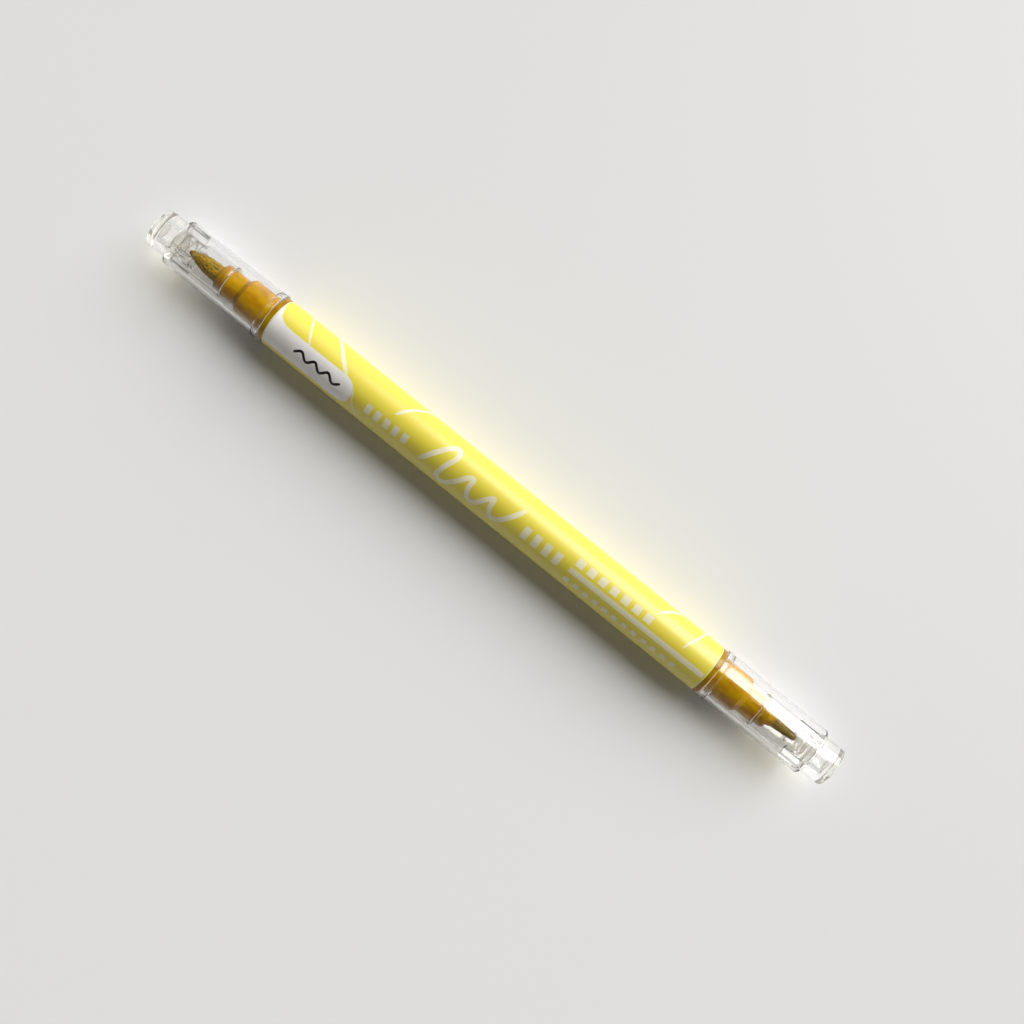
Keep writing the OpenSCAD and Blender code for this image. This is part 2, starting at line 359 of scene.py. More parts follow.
def new_material(name):
    """An empty material with its Principled shader and output."""
    material = bpy.data.materials.new(name)
    material.use_nodes = True
    tree = material.node_tree
    tree.nodes.clear()
    shader = node(tree, "ShaderNodeBsdfPrincipled")
    out = node(tree, "ShaderNodeOutputMaterial", {"Surface": shader})
    shader.location, out.location = (1600, 0), (2400, 0)
    return material, tree, shader


def pattern(tree, stretch, scale, detail, roughness):
    """Noise in object coordinates about the pen's axis, drawn out along the pen where stretch is under 1."""
    where = node(tree, "ShaderNodeTexCoord").outputs["Object"]
    squeeze = {"Vector": where, "Location": (0, 0, -AXIS_H), "Scale": (stretch, 1, 1)}
    spot = node(tree, "ShaderNodeMapping", squeeze, vector_type="POINT")
    look = {"Vector": spot, "Scale": scale, "Detail": detail, "Roughness": roughness}
    return node(tree, "ShaderNodeTexNoise", look)


def ramp(tree, source, stops):
    """A colour ramp of (place, linear colour) stops."""
    made = node(tree, "ShaderNodeValToRGB", {"Fac": source})
    elements = made.color_ramp.elements
    while len(elements) > 1:
        elements.remove(elements[-1])
    for i, (t, rgb) in enumerate(stops):
        e = elements[0] if i == 0 else elements.new(t)
        e.position = t
        e.color = (*rgb, 1)
    return made


def mixed(a, b, t):
    return tuple(p + (q - p) * t for p, q in zip(a, b))


def let_lamps_through(tree, shader, tint):
    """Lets lamps shine through clear plastic, so that what it encloses is lit as it is in the hand."""
    path = node(tree, "ShaderNodeLightPath")
    clear = node(tree, "ShaderNodeBsdfTransparent", {"Color": (*tint, 1)})
    both = node(tree, "ShaderNodeMixShader", {0: path.outputs["Is Shadow Ray"], 1: shader, 2: clear})
    feed(tree, tree.nodes["Material Output"], {"Surface": both})


def rims_painted_white(tree, shader):
    """Whitens rims and steps that face along the pen with a white frost: partly the mould's frost, partly a
    painted highlight for the bright refraction there.
    """
    where = node(tree, "ShaderNodeTexCoord")
    way = node(tree, "ShaderNodeSeparateXYZ", {"Vector": where.outputs["Normal"]})
    way = node(tree, "ShaderNodeMath", {0: way.outputs["X"]}, operation="ABSOLUTE")
    facing = node(tree, "ShaderNodeMapRange", {"Value": way, "From Min": 0.7, "From Max": 0.97, "To Max": 0.75})
    # The painted rim highlight is weaker at a cap's closed end.
    spot = node(tree, "ShaderNodeSeparateXYZ", {"Vector": where.outputs["Object"]})
    spot = node(tree, "ShaderNodeMath", {0: spot.outputs["X"]}, operation="ABSOLUTE")
    closed = TOTAL_END - CLOSED_END_L * MM
    fade = {"Value": spot, "From Min": closed, "From Max": closed + MM, "To Min": 1, "To Max": 0.35}
    rim = node(tree, "ShaderNodeMapRange", fade)
    rim_highlight_share = node(tree, "ShaderNodeMath", {0: facing, 1: rim}, operation="MULTIPLY")
    # The white is a painted highlight, lit as a soft diffuse and translucent sheet.
    white = {"Color": (1, 0.97, 0.9, 1)}
    lit, glow = node(tree, "ShaderNodeBsdfDiffuse", white), node(tree, "ShaderNodeBsdfTranslucent", white)
    soft = node(tree, "ShaderNodeMixShader", {1: lit, 2: glow})
    return node(tree, "ShaderNodeMixShader", {0: rim_highlight_share, 1: shader, 2: soft})


def clear_polystyrene(name, tint, roughness, ripple):
    """Clear polystyrene, injection moulded: water-clear with a hard bright gloss and faint flow ripple."""
    material, tree, shader = new_material(name)
    # Flow ripple is about 2.5 mm across and drawn out along the pen.
    waves = pattern(tree, 0.12, 400, 2, 0.5)
    feed(tree, shader, {
        "Base Color": (*tint, 1), "Transmission Weight": 1, "IOR": 1.57, "Specular IOR Level": 0.3,
        "Roughness": roughness,
        "Normal": node(tree, "ShaderNodeBump", {"Height": waves, "Strength": ripple, "Distance": 0.00002}),
    })
    # Rims and steps get a white frost that is partly a painted highlight.
    let_lamps_through(tree, rims_painted_white(tree, shader), (0.81, 0.8, 0.77))
    return material


def amber_polypropylene(name, light, deep):
    """Amber polypropylene, injection moulded: glossy, and clear enough to glow where the wall is thin."""
    material, tree, shader = new_material(name)
    # Pigment streaks run with the flow of the melt, about 1.6 mm apart.
    streaks = pattern(tree, 0.35, 620, 3, 0.55)
    tone = ramp(tree, streaks, [(0.3, deep), (0.52, mixed(deep, light, 0.7)), (0.72, light)])
    # Seen aslant the amber is painted deeper and redder: partly the longer path through the wall, partly
    # painted shade at the edges.
    edge_shade_share = node(tree, "ShaderNodeLayerWeight", {"Blend": 0.35}).outputs["Facing"]
    colours = {0: edge_shade_share, 6: tone, 7: (0.85, 0.6, 0.3, 1)}
    depth = node(tree, "ShaderNodeMix", colours, data_type="RGBA", blend_type="MULTIPLY")
    # Moulded skin: a texture of about 0.25 mm, a few micrometres deep.
    grain = pattern(tree, 0.35, 3800, 2, 0.5)
    feed(tree, shader, {
        "Base Color": depth.outputs[2],
        "Roughness": node(tree, "ShaderNodeMapRange", {"Value": grain, "To Min": 0.09, "To Max": 0.16}),
        "Normal": node(tree, "ShaderNodeBump", {"Height": grain, "Strength": 0.35, "Distance": 0.00001}),
        "IOR": 1.49, "Specular IOR Level": 0.35, "Transmission Weight": 0.3,
        "Subsurface Weight": 0.35, "Subsurface Radius": (1, 0.5, 0.02), "Subsurface Scale": 0.0012,
    })
    return material


def wet_fibre(name, light, dark, pitch_mm):
    """Bonded acrylic fibre, soaked with metallic ink: matt, with painted shade dark between the fibres and
    small painted glints on them.
    """
    material, tree, shader = new_material(name)
    # pitch_mm is coarser than the real fibre, 0.03 mm, so that the grain shows at arm's length.
    scale = 1 / (pitch_mm * MM)
    fibres, specks_and_glints = pattern(tree, 0.06, scale, 4, 0.6), pattern(tree, 0.6, scale * 0.8, 3, 0.7)
    both = node(tree, "ShaderNodeMix", {0: 0.6, 2: fibres, 3: specks_and_glints}, data_type="FLOAT")
    # The ramp paints shade between the fibres and glints on them, and the specks also make the fibres glossier.
    shades = [(0.38, dark), (0.46, mixed(dark, light, 0.4)), (0.56, mixed(dark, light, 0.7)), (0.62, light)]
    wet = {"Value": specks_and_glints, "From Min": 0.35, "From Max": 0.65, "To Min": 0.7, "To Max": 0.3}
    feed(tree, shader, {
        "Base Color": ramp(tree, both, shades),
        "Roughness": node(tree, "ShaderNodeMapRange", wet),
        "Normal": node(tree, "ShaderNodeBump", {"Height": both, "Strength": 0.6, "Distance": 0.00004}),
        "Specular IOR Level": 0.3,
    })
    return material


def printed_film(name, light, deep):
    """Yellow printed polyester film, shrunk tight on the barrel: pearly, with a satin gloss over the ink."""
    material, tree, shader = new_material(name)
    # Ink lay-down varies over about 4 mm, drawn out along the pen, and the film wrinkles faintly with it.
    lay = pattern(tree, 0.15, 250, 3, 0.5)
    # The satin varies over about 0.4 mm.
    fine = pattern(tree, 1, 2600, 2, 0.6)
    feed(tree, shader, {
        "Base Color": ramp(tree, lay, [(0.35, mixed(light, deep, 0.3)), (0.6, light)]),
        "Roughness": node(tree, "ShaderNodeMapRange", {"Value": fine, "To Min": 0.42, "To Max": 0.5}),
        "Normal": node(tree, "ShaderNodeBump", {"Height": lay, "Strength": 0.25, "Distance": 0.00006}),
        "IOR": 1.5, "Specular IOR Level": 0.7, "Coat Weight": 0.55, "Coat Roughness": 0.24,
    })
    return material


def screen_ink(name, code, roughness):
    """Screen printed ink under the film's gloss: flat, opaque, very slightly mottled."""
    material, tree, shader = new_material(name)
    # The mottle is about 1 mm across.
    mottle = pattern(tree, 0.4, 900, 3, 0.6)
    feed(tree, shader, {
        "Base Color": ramp(tree, mottle, [(0.3, mixed(code, (0, 0, 0), 0.07)), (0.6, code)]),
        "Normal": node(tree, "ShaderNodeBump", {"Height": mottle, "Strength": 0.15, "Distance": 0.00002}),
        "Roughness": roughness, "Coat Weight": 0.5, "Coat Roughness": 0.16,
    })
    return material


def moulded_plastic(name, code, roughness):
    """Opaque polypropylene, injection moulded: even colour with a soft gloss and a fine skin."""
    material, tree, shader = new_material(name)
    # The skin's grain is about 0.3 mm.
    grain = pattern(tree, 0.5, 3000, 3, 0.55)
    feed(tree, shader, {
        "Base Color": ramp(tree, grain, [(0.3, mixed(code, (0, 0, 0), 0.06)), (0.65, code)]),
        "Normal": node(tree, "ShaderNodeBump", {"Height": grain, "Strength": 0.2, "Distance": 0.00001}),
        "Roughness": roughness, "Subsurface Weight": 0.2, "Subsurface Scale": 0.0008,
    })
    return material


# ---------------------------------------------------------------- barrel and print

# Lines of the print as (mm from the pen's middle, degrees from the top towards +Y), each with its
# width in mm. They curve round the barrel like the spokes of a fan.
PRINT_LINES = (
    (0.42, ((-44.5, 92), (-43.9, 64), (-42.8, 35), (-41.9, 16), (-41.1, 1))),
    (0.75, ((-39.2, 96), (-37.9, 70), (-36.3, 44), (-34.3, 18), (-32.6, 1))),
    (0.32, ((-29.9, -16), (-29.6, -27), (-29.0, -43), (-27.5, -66), (-25.7, -92))),
    (0.6, ((-21.5, 1), (-20.5, 20), (-19.2, 40), (-17.4, 64), (-15.1, 92))),
    (0.6, ((36.4, 29), (37.6, 46), (39.5, 70), (41.6, 96))),
    (0.42, ((43.0, -3), (43.7, 20), (44.4, 40), (45.1, 70), (45.7, 96))),
)
# The panel's edges: where its upper edge stands at each distance along the barrel.
PANEL_TOP = (
    (-49.2, 80), (-49.0, 47), (-48.7, 30), (-48.2, 15), (-47.4, 6.5), (-46.4, 2.2), (-44.8, 0.7),
    (-33.2, 0.7),
)
PANEL_BOTTOM = -65.0
PANEL_LOBE = -29.9  # where its round end stands
LOBE_L, LOBE_POWER = 3.0, 2.4  # its length, and how square it is: 2 is an ellipse
# A loose wave of the brush along the barrel's middle.
WAVE = (
    (-13.7, -46), (-12.1, -14), (-9.9, 22), (-8.7, 30), (-8.1, 12), (-9.1, -22), (-9.5, -50), (-8.1, -58),
    (-6.1, -34), (-4.5, -8), (-3.5, -4), (-3.4, -26), (-2.7, -46), (-1.1, -44), (0.3, -20), (1.4, -8),
    (1.6, -26), (2.3, -46), (3.9, -42), (5.7, -14), (7.1, 16),
)
PANEL_WAVE = (
    (-42.8, -33), (-41.4, -21), (-39.9, -35), (-38.4, -21), (-36.9, -35), (-35.4, -21), (-33.9, -35),
    (-32.5, -24),
)


def spline(points, per=10):
    """A smooth line through control points."""
    p = np.array(points, float)
    p = np.vstack([2 * p[0] - p[1], p, 2 * p[-1] - p[-2]])
    out = []
    for i in range(1, len(p) - 2):
        for t in np.arange(per) / per:
            a, b, c, d = p[i - 1 : i + 3]
            bend = (2 * a - 5 * b + 4 * c - d) * t**2 + (3 * b - a - 3 * c + d) * t**3
            out.append(0.5 * (2 * b + (c - a) * t + bend))
    out.append(p[-2])
    return np.array(out)


def stroke(points, width, ends=0.35, per=10):
    """Rows of a printed stroke on the flat film, a band along a smooth line. ends is how thin its ends get."""
    film_r = FILM_R / MM
    line = spline([(x, math.radians(a) * film_r) for x, a in points], per)
    step = np.gradient(line, axis=0)
    step /= np.maximum(np.linalg.norm(step, axis=1, keepdims=True), 1e-9)
    side = np.stack([-step[:, 1], step[:, 0]], axis=1)
    run = np.concatenate([[0], np.cumsum(np.linalg.norm(np.diff(line, axis=0), axis=1))])
    near = np.minimum(run, run[-1] - run)
    half = width / 2 * (ends + (1 - ends) * np.clip(near / (width * 1.2), 0, 1) ** 0.5)
    across = np.linspace(-1, 1, 5)
    return line[:, None, :] + side[:, None, :] * half[:, None, None] * across[None, :, None]


def wrap(grid, lift):
    """Lays a grid of flat (along, round) points, in mm, on the film."""
    film_r = FILM_R / MM
    angles = grid[..., 1] / film_r
    radius = film_r + lift / MM
    x = grid[..., 0] * MM
    return np.stack([x, radius * MM * np.sin(angles), AXIS_H + radius * MM * np.cos(angles)], axis=-1)


def sheet_of(grids, lift):
    """One mesh of open patches, each a grid of points, facing outwards."""
    points, faces = [], []
    for grid in grids:
        laid = wrap(grid, lift)
        rows, cols = laid.shape[:2]
        base = len(points)
        points.extend(map(tuple, laid.reshape(-1, 3)))
        for i in range(rows - 1):
            for j in range(cols - 1):
                a = base + i * cols + j
                faces.append((a, a + 1, a + cols + 1, a + cols))
    mesh = bpy.data.meshes.new("ink")
    mesh.from_pydata(points, [], faces)
    mesh.update()
    centres = np.array([p.center[:] for p in mesh.polygons])
    normals = np.array([p.normal[:] for p in mesh.polygons])
    outward = centres - np.array([0, 0, AXIS_H])
    outward[:, 0] = 0
    wrong = np.einsum("ij,ij->i", outward, normals) < 0
    bm = bmesh.new()
    bm.from_mesh(mesh)
    bm.faces.ensure_lookup_table()
    bmesh.ops.reverse_faces(bm, faces=[bm.faces[i] for i in np.nonzero(wrong)[0]])
    bm.to_mesh(mesh)
    bm.free()
    mesh.shade_smooth()
    return mesh


def panel_grid():
    """The white panel: it covers the film's end, and a strip of it runs on to a round lobe."""
    film_r = FILM_R / MM
    top = np.array(PANEL_TOP)
    lobe_r = math.radians(PANEL_TOP[-1][1] - PANEL_BOTTOM) * film_r / 2
    middle = math.radians(PANEL_TOP[-1][1] + PANEL_BOTTOM) * film_r / 2
    lobe = PANEL_LOBE - LOBE_L
    xs = np.unique(np.concatenate([
        np.linspace(-FILM_END / MM, -45, 40),
        np.linspace(-45, lobe, 30),
        PANEL_LOBE - LOBE_L * (1 - np.sin(np.linspace(0, math.pi / 2, 24))),
    ]))
    rows = []
    for x in xs:
        upper = math.radians(np.interp(x, top[:, 0], top[:, 1])) * film_r
        lower = math.radians(PANEL_BOTTOM) * film_r
        inside = (x - lobe) / LOBE_L
        if inside > 0:
            half = lobe_r * max(1 - inside**LOBE_POWER, 0) ** (1 / LOBE_POWER)
            upper, lower = middle + half, middle - half
        rows.append([(x, lower + (upper - lower) * t) for t in np.linspace(0, 1, 36)])
    return np.array(rows)


def end_band(width, angle_from, angle_to):
    """A narrow white band round the film's end, outside the panel."""
    film_r = FILM_R / MM
    angles = np.radians(np.linspace(angle_from, angle_to, 120)) * film_r
    end = -FILM_END / MM
    return np.array([[(end, a), (end + width, a)] for a in angles])


def film_rows(ragged):
    """Rows of the film: a thin tube with a hand-cut edge at the brush end."""
    rng = np.random.default_rng(11)
    angles = circle(2 * COLUMNS)
    wander = np.zeros(len(angles))
    for k in range(3, 76):
        wander += np.sin(k * angles + rng.uniform(0, TURN)) * rng.uniform(0.3, 1) / k**0.3
    wander = (wander - wander.min()) / np.ptp(wander) * ragged
    outer, inner = FILM_R / MM, BARREL_R / MM + 0.003
    end = FILM_END / MM
    rows = []
    stations = [-end, -end + 0.05, -end + 0.6] + list(np.linspace(-end + 4, end - 4, 24)) + [end - 0.05, end]
    for r, xs in ((outer, stations), (inner, stations[::-1])):
        for x in xs:
            share = np.clip((-x - (end - 0.6)) / 0.6, 0, 1)
            at = x + wander / MM * share
            rows.append(np.stack([at * MM, r * MM * np.sin(angles), AXIS_H + r * MM * np.cos(angles)], axis=-1))
    return rows, angles, wander


def new_group(name, material, counts, measures):
    """An empty Geometry Nodes group with its inputs, the last a material, and its output."""
    group = bpy.data.node_groups.new(name, "GeometryNodeTree")
    rows = [("Int", counts), ("Float", measures), ("Material", {material: None})]
    for kind, values in rows:
        for key, value in values.items():
            made = group.interface.new_socket(key, in_out="INPUT", socket_type="NodeSocket" + kind)
            made.default_value = value
    group.interface.new_socket("Geometry", in_out="OUTPUT", socket_type="NodeSocketGeometry")
    return group


def set_inputs(modifier, group, values):
    """Sets a modifier's inputs by their identifiers."""
    for item in group.interface.items_tree:
        if item.item_type == "SOCKET" and item.in_out == "INPUT" and item.name in values:
            modifier[item.identifier] = values[item.name]


def grown(name, group, values):
    """Runs a node group on an empty mesh and returns the plain mesh that it makes."""
    carrier = bpy.data.objects.new(name + "_carrier", bpy.data.meshes.new(name + "_carrier"))
    bpy.context.scene.collection.objects.link(carrier)
    modifier = carrier.modifiers.new("grow", "NODES")
    modifier.node_group = group
    set_inputs(modifier, group, values)
    graph = bpy.context.evaluated_depsgraph_get()
    graph.update()
    mesh = bpy.data.meshes.new_from_object(carrier.evaluated_get(graph), depsgraph=graph)
    carrier.modifiers.remove(modifier)
    bpy.data.objects.remove(carrier)
    if not len(mesh.polygons):
        raise RuntimeError(f"{name}: the node group made no faces")
    return mesh


def marks_group():
    """Geometry Nodes: a row of small square printed marks along the pen, bent round the film."""
    t = new_group("Printed Marks", "Ink", {"Count": 7}, {
        "Start": 0, "Pitch": 0.0025, "Angle": 0, "Width": 0.0015, "Height": 0.0015,
        "Film Radius": FILM_R, "Axis Height": AXIS_H,
    })
    given = node(t, "NodeGroupInput").outputs
    size = {"Size X": given["Width"], "Size Y": given["Height"], "Vertices X": 3, "Vertices Y": 6}
    patch = node(t, "GeometryNodeMeshGrid", size)
    start = node(t, "ShaderNodeCombineXYZ", {"X": given["Start"]})
    pitch = node(t, "ShaderNodeCombineXYZ", {"X": given["Pitch"]})
    line = node(t, "GeometryNodeMeshLine", {"Count": given["Count"], "Start Location": start, "Offset": pitch})
    laid = node(t, "GeometryNodeInstanceOnPoints", {"Points": line, "Instance": patch})
    real = node(t, "GeometryNodeRealizeInstances", {"Geometry": laid})
    where = node(t, "GeometryNodeInputPosition")
    parts = node(t, "ShaderNodeSeparateXYZ", {"Vector": where})
    turn = node(t, "ShaderNodeMath", {0: parts.outputs["Y"], 1: given["Film Radius"]}, operation="DIVIDE")
    angle = node(t, "ShaderNodeMath", {0: turn, 1: given["Angle"]}, operation="ADD")
    sine = node(t, "ShaderNodeMath", {0: angle}, operation="SINE")
    cosine = node(t, "ShaderNodeMath", {0: angle}, operation="COSINE")
    across = node(t, "ShaderNodeMath", {0: sine, 1: given["Film Radius"]}, operation="MULTIPLY")
    height = {0: cosine, 1: given["Film Radius"], 2: given["Axis Height"]}
    up = node(t, "ShaderNodeMath", height, operation="MULTIPLY_ADD")
    moved = node(t, "ShaderNodeCombineXYZ", {"X": parts.outputs["X"], "Y": across, "Z": up})
    bent = node(t, "GeometryNodeSetPosition", {"Geometry": real, "Position": moved})
    inked = node(t, "GeometryNodeSetMaterial", {"Geometry": bent, "Material": given["Ink"]})
    node(t, "NodeGroupOutput", {"Geometry": inked})
    return t


# Rows of marks: name, count, first mark's middle and pitch in mm, degrees from the top, width and height in mm.
MARK_ROWS = (
    ("print_marks_left", 5, -25.9, 2.05, -29.0, 1.25, 2.0),
    ("print_marks_middle", 4, 9.4, 2.35, -23.0, 1.35, 2.5),
    ("print_marks_row", 7, 20.3, 2.5, 0.5, 1.55, 1.6),
    ("print_marks_small", 12, 19.9, 2.15, -50.0, 1.1, 1.0),
)


class PEN_OT_barrel(bpy.types.Operator):
    """Barrel with its inner ribs, and the printed film that wraps it"""

    bl_idname = "pen.barrel"
    bl_label = "Barrel and print"

    def execute(self, context):
        s = context.scene.pen_barrel
        plastic = moulded_plastic("barrel_polypropylene_moulded", tuple(s.plastic_colour), 0.35)
        film = printed_film("film_polyester_printed", tuple(s.film_colour), tuple(s.film_shade))
        white = screen_ink("ink_white_screen_printed", tuple(s.white_ink), 0.34)
        thin = screen_ink("ink_thin_white_screen_printed", tuple(s.thin_ink), 0.34)
        black = screen_ink("ink_black_screen_printed", tuple(s.black_ink), 0.3)

        outer, bore = BARREL_R / MM, BARREL_R / MM - BARREL_WALL
        half = BARREL_END / MM
        rib_end = half - BARREL_PLAIN_L

        def ribbed(angles, r, z):
            near = np.abs((angles * BARREL_RIBS / TURN + 0.5) % 1 - 0.5) * TURN / BARREL_RIBS * bore
            inside = (abs(z) < rib_end + 1e-6) & (r < outer - 0.1)
            return np.where(inside, -BARREL_RIB_H * (near < BARREL_RIB_HALF), 0.0)

        outline = [(bore, -half), (outer, -half), (outer, half), (bore, half)]
        outline = soften([(r, z, 0.12) for r, z in outline], closed=True)
        steps = (rib_end + 0.01, rib_end, rib_end - 0.02)
        inner = [(bore, z) for z in (*steps, *(-z for z in reversed(steps)))]
        after = max(i for i, (r, z) in enumerate(outline) if z > 0)
        outline = outline[: after + 1] + inner + outline[after + 1 :]
        rows = turned(outline, 0.0, 1, circle(360), ribbed)
        add_piece("barrel_tube", skin("barrel", rows, True), plastic, "pen", "barrel")

        rows, angles, wander = film_rows(s.ragged)
        add_piece("printed_film", skin("film", rows, True), film, "pen", "label_sleeve")

        panel = panel_grid()
        band = end_band(0.3, 78, 360 - 64)
        for grid in (panel, band):
            # The ink stops where the film is cut.
            turn = np.mod(grid[..., 1] / (FILM_R / MM), TURN)
            cut = np.interp(turn, np.append(angles, TURN), np.append(wander, wander[0])) / MM
            grid[..., 0] = np.maximum(grid[..., 0], -FILM_END / MM + cut + 0.004)
        lines = [stroke(points, width) for width, points in PRINT_LINES]
        bar = stroke(((19.2, -23.4), (34, -23.4), (FILM_END / MM - 0.35, -23.4)), 1.08, 0.95)
        # Where prints cross, the later one stands a little higher.
        for name, grids, lift, ink in (
            ("print_white_panel", [panel, band], 1, white),
            ("print_white_lines", lines, 1, thin),
            ("print_white_wave", [stroke(WAVE, 0.95, 0.35, 14), bar], 1.3, thin),
            ("print_black_wave", [stroke(PANEL_WAVE, 0.5, 0.5)], 2, black),
        ):
            add_piece(name, sheet_of(grids, s.ink_lift * lift), ink, "pen", None)

        group = marks_group()
        for name, count, start, pitch, angle, width, height in MARK_ROWS:
            mesh = grown(name, group, {
                "Count": count, "Start": start * MM, "Pitch": pitch * MM, "Angle": math.radians(angle),
                "Width": width * MM, "Height": height * MM, "Film Radius": FILM_R + s.ink_lift,
                "Axis Height": AXIS_H, "Ink": thin,
            })
            mesh.shade_smooth()
            add_piece(name, mesh, thin, "pen", None)
        return {"FINISHED"}


class PEN_OT_reservoir(bpy.types.Operator):
    """Finishes of the ink reservoir inside the barrel, on its CAD nodes"""

    bl_idname = "pen.reservoir"
    bl_label = "Ink reservoir"

    def execute(self, context):
        s = context.scene.pen_nibs
        core = wet_fibre("reservoir_polyester_fibre_soaked", tuple(s.fibre_light), tuple(s.fibre_dark), 0.3)
        wrapper = clear_polystyrene("reservoir_film_polypropylene_clear", (0.9, 0.9, 0.86), 0.2, 0.2)
        for name, material in (("reservoir_core", core), ("reservoir_wrap", wrapper)):
            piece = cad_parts[name]
            for slot in piece.material_slots:
                slot.link = "OBJECT"
                slot.material = material
        return {"FINISHED"}


# ---------------------------------------------------------------- sections


def section_outline(s, front, nib_r):
    """A section's closed outline: back from its front along the outside, and forward through its bore."""
    flange, body = s.flange_t / MM, s.body_l / MM
    body_r, nose_r, plug = s.body_r / MM, s.nose_r / MM, s.plug_l / MM
    back = flange + body
    nose = back + s.cone_l / MM
    bump = flange + s.bump_at / MM
    hole = nib_r + 0.02
    corners = [(r, z, c) for r, z, c in front]
    corners += [(nose_r, nose, 0.25), (body_r, back, 0.22)]
    corners += [(body_r, bump + k * 0.08, 0) for k in range(8, -9, -1)]
    corners += [
        (body_r, flange, 0.1), (BARREL_R / MM, flange, 0.12), (BARREL_R / MM, 0.01, 0.05), (PLUG_R, 0.01, 0.03),
        (PLUG_R, 0.4 - plug, 0.1), (PLUG_R - 0.4, -plug, 0.08), (CAVITY_R, -plug, 0.08),
        (CAVITY_R, back, 0.15), (hole, back, 0.05),
    ]
    return soften(corners, closed=True)


def snap_bumps(s):
    """How far the snap bumps swell the body at an angle and a place along it."""
    at = (s.flange_t + s.bump_at) / MM
    body_r, height = s.body_r / MM, s.bump_h / MM

    def swell(angles, r, z, way):
        if abs(r - body_r) > 1e-4 or abs(z - at) > 0.6:
            return 0.0
        along = math.cos((z - at) / 0.6 * math.pi / 2) ** 1.2
        start = s.bump_start if way < 0 else math.pi - s.bump_start
        off = np.abs(((angles - start) * s.bump_count / TURN + 0.5) % 1 - 0.5) * TURN / s.bump_count
        share = np.clip(off / math.radians(21), 0, 1)
        return height * along * np.sqrt(1 - share**2)

    return swell


class PEN_OT_sections(bpy.types.Operator):
    """Amber brush section and fine section with their snap bumps"""

    bl_idname = "pen.sections"
    bl_label = "Nib sections"

    def execute(self, context):
        s, nibs = context.scene.pen_sections, context.scene.pen_nibs
        amber = amber_polypropylene("section_polypropylene_amber", tuple(s.amber), tuple(s.amber_deep))
        swell = snap_bumps(s)
        nose_r = s.nose_r / MM
        nose = (s.flange_t + s.body_l + s.cone_l) / MM
        brush_end = nose + BRUSH_NOSE_L
        brush_r, fine_r = nibs.brush_r / MM, nibs.fine_r / MM
        brush = [
            (brush_r + 0.02, brush_end, 0.08), (nose_r - 0.4, brush_end, 0.15), (nose_r, brush_end - 0.4, 0.3),
        ]
        step, end, tip = nose + FINE_STEP_L, nose + FINE_NOSE_L, nose + FINE_TIP_L
        front_r, root_r = nose_r - 0.3, fine_r + 0.47
        fine = [
            (fine_r + 0.02, tip, 0.04), (fine_r + 0.12, tip, 0.04), (root_r, end, 0.06),
            (front_r - 0.2, end, 0.12), (front_r, end - 0.4, 0.2), (front_r, step, 0.06), (nose_r, step, 0.1),
        ]
        sections = (("brush_section", BRUSH, brush, brush_r), ("fine_section", FINE, fine, fine_r))
        for name, way, front, nib_r in sections:
            outline = section_outline(s, front, nib_r)
            rows = turned(outline, way * BARREL_END, way, None, lambda a, r, z, w=way: swell(a, r, z, w))
            add_piece(name + "_moulding", skin(name, rows, True), amber, "pen", name)
        return {"FINISHED"}


# ---------------------------------------------------------------- nibs


